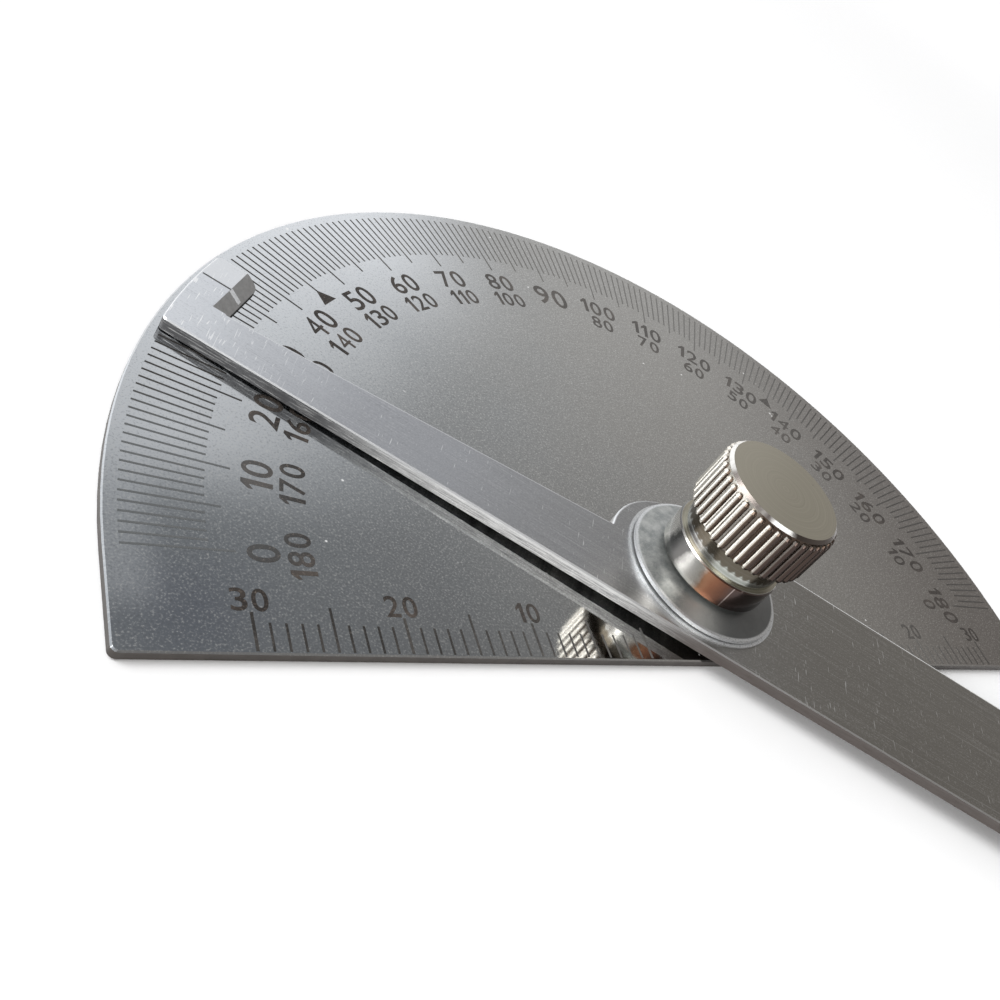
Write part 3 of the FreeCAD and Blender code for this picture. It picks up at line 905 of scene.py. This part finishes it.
# %% Degree numbers
OUTER_ROW = 36.15 * MM
INNER_ROW = 33.75 * MM
MIDDLE_ROW = 35.5 * MM
OUTER_HEIGHT = 2.15 * MM
INNER_HEIGHT = 1.8 * MM
MIDDLE_HEIGHT = 2.7 * MM

points, faces = [], []
for degree in range(0, 181, 10):
    ray = towards(degree)
    if degree == 90:
        labels = [("90", MIDDLE_ROW, MIDDLE_HEIGHT)]
    else:
        outer = (str(degree), OUTER_ROW, OUTER_HEIGHT)
        inner = (str(180 - degree), INNER_ROW, INNER_HEIGHT)
        labels = [outer, inner]
    for text, row, height in labels:
        set_down(points, faces, digits_mesh(text, height), ray * row, ray)
new_piece("degree_numbers", points, faces, number_etch, "head")

# %% [markdown]
# ## The millimetre scale
# A short ruler runs along the base edge on each side, from 0 near the pivot to 30 outwards. Its
# ten-millimetre ticks rise between the two digits of their number, and the fives stand taller.

# %% Millimetre ticks and numbers
SCALE_ZERO = 7.6 * MM
SCALE_LENGTH = 30
SCALE_FOOT = plate_low.y + 0.18 * MM
SCALE_TOP = {1: -5.0 * MM, 5: -3.8 * MM, 10: -4.3 * MM}
SCALE_TICK_WIDTH = {1: 0.16 * MM, 5: 0.17 * MM, 10: 0.2 * MM}
SCALE_NUMBER_HEIGHT = 1.6 * MM
SCALE_NUMBER_MIDDLE = -3.45 * MM

points, faces, number_points, number_faces = [], [], [], []
for side in (-1, 1):
    for count in range(0, SCALE_LENGTH + 1):
        x = side * (SCALE_ZERO + count * MM)
        rank = rank_of(count)
        foot, top = Vector((x, SCALE_FOOT)), Vector((x, SCALE_TOP[rank]))
        outline = strip_points(foot, top, SCALE_TICK_WIDTH[rank])
        add_prism(points, faces, outline, plate_top - MARK_SUNK, plate_top + MARK_PROUD)
        if rank == 10 and count > 0:
            shape = digits_mesh(str(count), SCALE_NUMBER_HEIGHT)
            centre = Vector((x, SCALE_NUMBER_MIDDLE))
            set_down(number_points, number_faces, shape, centre, Vector((0.0, 1.0)))
new_piece("millimetre_ticks", points, faces, tick_etch, "head")
new_piece("millimetre_numbers", number_points, number_faces, number_etch, "head")

# %% [markdown]
# ## The index line
# A fine line on the arm's tab shows the reading. It starts on the bevel that comes down to the
# scale and runs outwards. The line has to follow both faces, so each of its points is dropped on
# to the arm from above with a ray.

# %% Index line on the tab
INDEX_READING = 33.55
INDEX_BEVEL = (41.4 * MM, 42.38 * MM)
INDEX_TOP = (42.42 * MM, 44.7 * MM)
INDEX_WIDTH = 0.13 * MM
NOTCH_WIDTH = 0.46 * MM
INDEX_STEPS = 8
ABOVE = 50 * MM


def drop_on(solid, x, y):
    """Where a ray from above meets the solid, and the way its surface faces there."""
    hit, spot, facing, _ = solid.ray_cast(Vector((x, y, ABOVE)), Vector((0.0, 0.0, -1.0)))
    if not hit:
        raise ValueError(f"nothing under {x:.4f}, {y:.4f}")
    return spot, facing


def line_on_arm(name, reach, width, material):
    """A strip of this width on the arm's surface, between two distances from the pivot."""
    ray = towards(INDEX_READING)
    side = Vector((-ray.y, ray.x)) * width / 2
    points, faces = [], []
    for step in range(INDEX_STEPS + 1):
        centre = ray * (reach[0] + (reach[1] - reach[0]) * step / INDEX_STEPS)
        for spot in (centre - side, centre + side):
            hit, facing = drop_on(nodes["arm"], spot.x, spot.y)
            points.extend([hit - facing * MARK_SUNK, hit + facing * MARK_PROUD])
    for step in range(INDEX_STEPS):
        a = 4 * step
        b = a + 4
        faces.extend([[a, a + 2, b + 2, b], [a + 1, b + 1, b + 3, a + 3]])
        faces.extend([[a, b, b + 1, a + 1], [a + 2, a + 3, b + 3, b + 2]])
    last = 4 * INDEX_STEPS
    faces.extend([[0, 1, 3, 2], [last, last + 2, last + 3, last + 1]])
    return new_piece(name, points, faces, material, "arm")


bright_cut = etch_finish("bright_cut", (0.78, 0.80, 0.82), (0.58, 0.59, 0.61), 0.0)
line_on_arm("index_line", INDEX_TOP, INDEX_WIDTH, tick_etch)
line_on_arm("index_notch", INDEX_BEVEL, NOTCH_WIDTH, bright_cut)

# %% [markdown]
# ## Floor, light and background
# The protractor lies on a plain white sweep. Polished steel shows whatever stands round it, so a
# world of one flat colour would make it look like painted plastic. The world here is a plain
# studio instead: bright towards a window on the left, dimmer on the right and overhead, with no
# edges in it. One broad, far lamp adds the window's direction and the soft shadow, and a second,
# low one stands for the bright table in front, which lights the arm's ground side.

# %% Floor and backdrop
FLOOR_HALF = 1.2
FLOOR_CUTS = 8
FLOOR_BELOW = 0.02 * MM
FLOOR_FAR = (250.0, 900.0)


def floor_finish():
    paper = Finish("white_paper")
    fibres = noise(paper.place, 0.4)
    paper.set(Base_Color=blended(fibres, (0.94, 0.94, 0.94), (0.97, 0.97, 0.97)), Roughness=0.9)
    far = ramped(distance_to(paper.place, (0.0, 0.0, 0.0)), *FLOOR_FAR)
    paper.set(Specular_IOR_Level=0.0, Emission_Strength=1.0)
    paper.set(Emission_Color=blended(far, (0.0, 0.0, 0.0), (0.3, 0.3, 0.3)))
    return paper.material


def make_floor():
    """A square grid, a hair below the head's back so that the two faces don't flicker."""
    step = 2 * FLOOR_HALF / FLOOR_CUTS
    row = FLOOR_CUTS + 1
    points, faces = [], []
    for j in range(row):
        for i in range(row):
            points.append((-FLOOR_HALF + i * step, -FLOOR_HALF + j * step, -FLOOR_BELOW))
    for j in range(FLOOR_CUTS):
        for i in range(FLOOR_CUTS):
            corner = j * row + i
            faces.append([corner, corner + 1, corner + row + 1, corner + row])
    mesh = bpy.data.meshes.new("floor")
    mesh.from_pydata(points, [], faces)
    mesh.materials.append(floor_finish())
    floor = bpy.data.objects.new("floor", mesh)
    bpy.context.scene.collection.objects.link(floor)
    return floor


make_floor()
print("floor is", 2 * FLOOR_HALF, "m wide")

# %% World light
TOWARDS_WINDOW = (-0.707, 0.707, 0.0)
WINDOW_BLEND = (-0.55, 0.55)
CEILING_HEIGHT = (0.42, 0.80)
BRIGHT_SIDE = (1.20, 1.22, 1.25)
DIM_SIDE = (0.44, 0.42, 0.40)
OVERHEAD = 0.50


def make_world():
    world = bpy.data.worlds.new("studio")
    bpy.context.scene.world = world
    world.use_nodes = True
    tree = world.node_tree
    background = tree.nodes["Background"]
    directions = Signal(tree, tree.nodes.new("ShaderNodeTexCoord").outputs["Generated"])
    sideways = along(directions, TOWARDS_WINDOW)
    height = along(directions, (0.0, 0.0, 1.0))
    room = blended(ramped(sideways, *WINDOW_BLEND), DIM_SIDE, BRIGHT_SIDE)
    ceiling = 1.0 - ramped(height, *CEILING_HEIGHT) * (1.0 - OVERHEAD)
    tree.links.new(room.socket, background.inputs["Color"])
    tree.links.new(ceiling.socket, background.inputs["Strength"])


make_world()
print("world from", DIM_SIDE, "to", BRIGHT_SIDE)

# %% Soft lamps


def soft_lamp(name, place, size, power):
    """A square lamp that shines at the pivot."""
    data = bpy.data.lights.new(name, "AREA")
    data.shape = "SQUARE"
    data.size = size
    data.energy = power
    lamp = bpy.data.objects.new(name, data)
    lamp.location = place
    lamp.rotation_euler = (-Vector(place)).to_track_quat("-Z", "Y").to_euler()
    bpy.context.scene.collection.objects.link(lamp)
    return lamp


soft_lamp("window_light", place=(-1.45, 0.55, 1.40), size=1.2, power=30.0)
soft_lamp("table_light", place=(-0.62, -1.15, 0.45), size=0.8, power=10.0)

# %% [markdown]
# ## Camera
# The picture was taken with the lens close to the head and turned: the picture's level lies
# along the base edge, not along the horizon. So the camera is set by where it stands, where its
# axis meets the plate and how far it is rolled. The small lens shift only frames the object as
# the picture does.

# %% Place the camera
CAMERA_AT = Vector((-62.53, -39.48, 50.03)) * MM
LOOK_AT = Vector((-2.983, 19.709, 0.8)) * MM
ROLL = radians(38.445)
LENS = 38.70
SENSOR = 36.0
SHIFT = (-0.08, -0.095)


def make_camera():
    forward = (LOOK_AT - CAMERA_AT).normalized()
    level = forward.cross(Vector((0.0, 0.0, 1.0))).normalized()
    upwards = level.cross(forward)
    right = level * cos(ROLL) + upwards * sin(ROLL)
    up = right.cross(forward)
    turn = Matrix((right, up, -forward)).transposed().to_4x4()
    data = bpy.data.cameras.new("camera")
    data.sensor_width = SENSOR
    data.lens = LENS
    data.shift_x, data.shift_y = SHIFT
    data.clip_start = 1.0 * MM
    camera = bpy.data.objects.new("camera", data)
    camera.matrix_world = Matrix.Translation(CAMERA_AT) @ turn
    bpy.context.scene.collection.objects.link(camera)
    bpy.context.scene.camera = camera
    return camera


make_camera()
bpy.context.scene.view_settings.view_transform = "Standard"
print("camera height mm", round(CAMERA_AT.z * TO_MM, 1))
